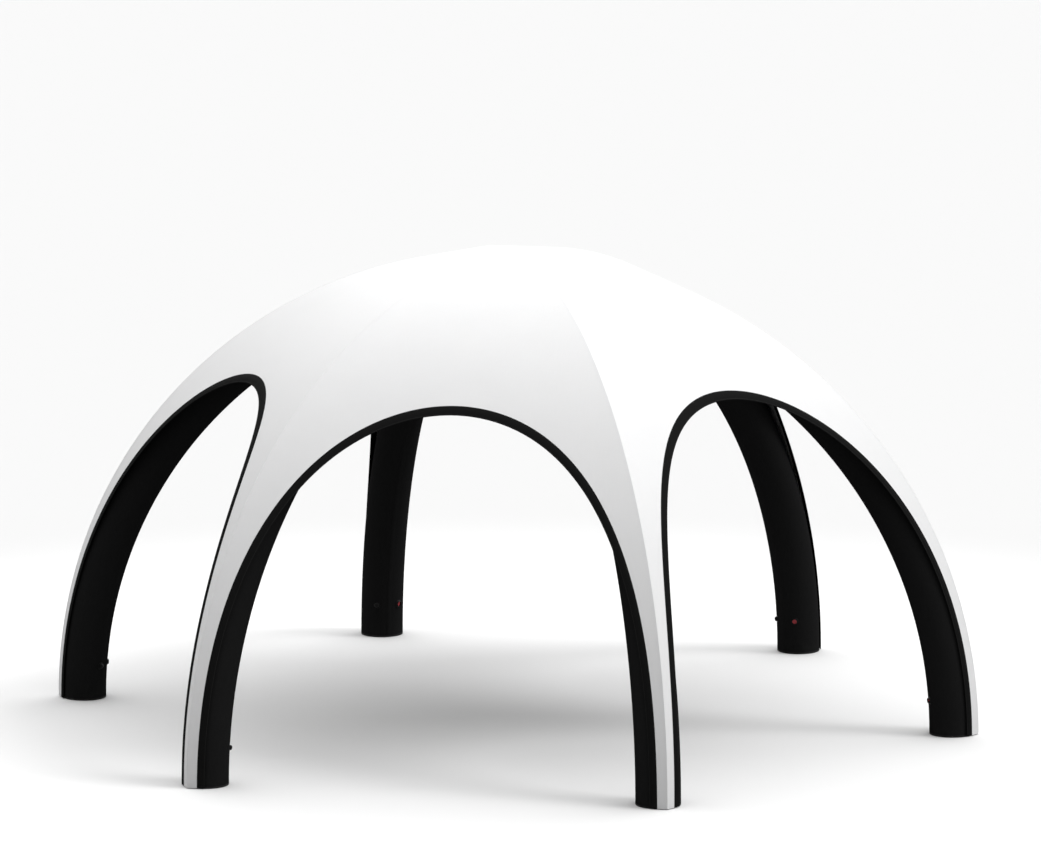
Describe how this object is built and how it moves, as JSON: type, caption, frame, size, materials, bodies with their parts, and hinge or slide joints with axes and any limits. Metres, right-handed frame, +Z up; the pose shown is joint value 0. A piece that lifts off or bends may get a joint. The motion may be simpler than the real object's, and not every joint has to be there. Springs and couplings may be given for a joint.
{
  "type": "inflatable dome tent",
  "caption": "Open dome tent: black air beams arch from the ground to a common crown under a white canopy with an arched door between each pair of legs.",
  "frame": {"origin": "on the ground at the tent's centre, under the crown", "axes": "+Z up; one beam runs out along +X and one along -X; a door arch faces -Y, the front, and one faces +Y"},
  "size_m": [6.5994, 5.7154, 3.3],
  "materials": {
    "beam_sleeve": "matt black woven polyester sleeve over an air tube",
    "foot_cap_rubber": "matt moulded black",
    "inflation_valve_plastic": "satin moulded black",
    "relief_valve_plastic": "satin moulded red in a black ring",
    "canopy_skin": "matt white coated polyester, dark grey woven inner face",
    "trim_band": "matt black woven band"
  },
  "bodies": {
    "frame": {"beam_right": "beam_sleeve", "beam_back_right": "beam_sleeve", "beam_back_left": "beam_sleeve", "beam_left": "beam_sleeve", "beam_front_left": "beam_sleeve", "beam_front_right": "beam_sleeve", "foot_cap_right": "foot_cap_rubber", "foot_cap_back_right": "foot_cap_rubber", "foot_cap_back_left": "foot_cap_rubber", "foot_cap_left": "foot_cap_rubber", "foot_cap_front_left": "foot_cap_rubber", "foot_cap_front_right": "foot_cap_rubber", "inflation_valve_right": "inflation_valve_plastic", "inflation_valve_back_right": "inflation_valve_plastic", "inflation_valve_back_left": "inflation_valve_plastic", "inflation_valve_left": "inflation_valve_plastic", "inflation_valve_front_left": "inflation_valve_plastic", "inflation_valve_front_right": "inflation_valve_plastic", "relief_valve_right": "relief_valve_plastic", "relief_valve_back_right": "relief_valve_plastic", "relief_valve_back_left": "relief_valve_plastic", "relief_valve_left": "relief_valve_plastic", "relief_valve_front_left": "relief_valve_plastic", "relief_valve_front_right": "relief_valve_plastic"},
    "canopy": {"canopy_panel_back_right": "canopy_skin", "canopy_panel_back": "canopy_skin", "canopy_panel_back_left": "canopy_skin", "canopy_panel_front_left": "canopy_skin", "canopy_panel_front": "canopy_skin", "canopy_panel_front_right": "canopy_skin", "door_trim_back_right": "trim_band", "door_trim_back": "trim_band", "door_trim_back_left": "trim_band", "door_trim_front_left": "trim_band", "door_trim_front": "trim_band", "door_trim_front_right": "trim_band"}
  },
  "joints": [
    {"name": "canopy_lift", "type": "slide", "parent": "frame", "child": "canopy", "axis": [0, 0, 1], "range_m": [0, 1.5]}
  ]
}
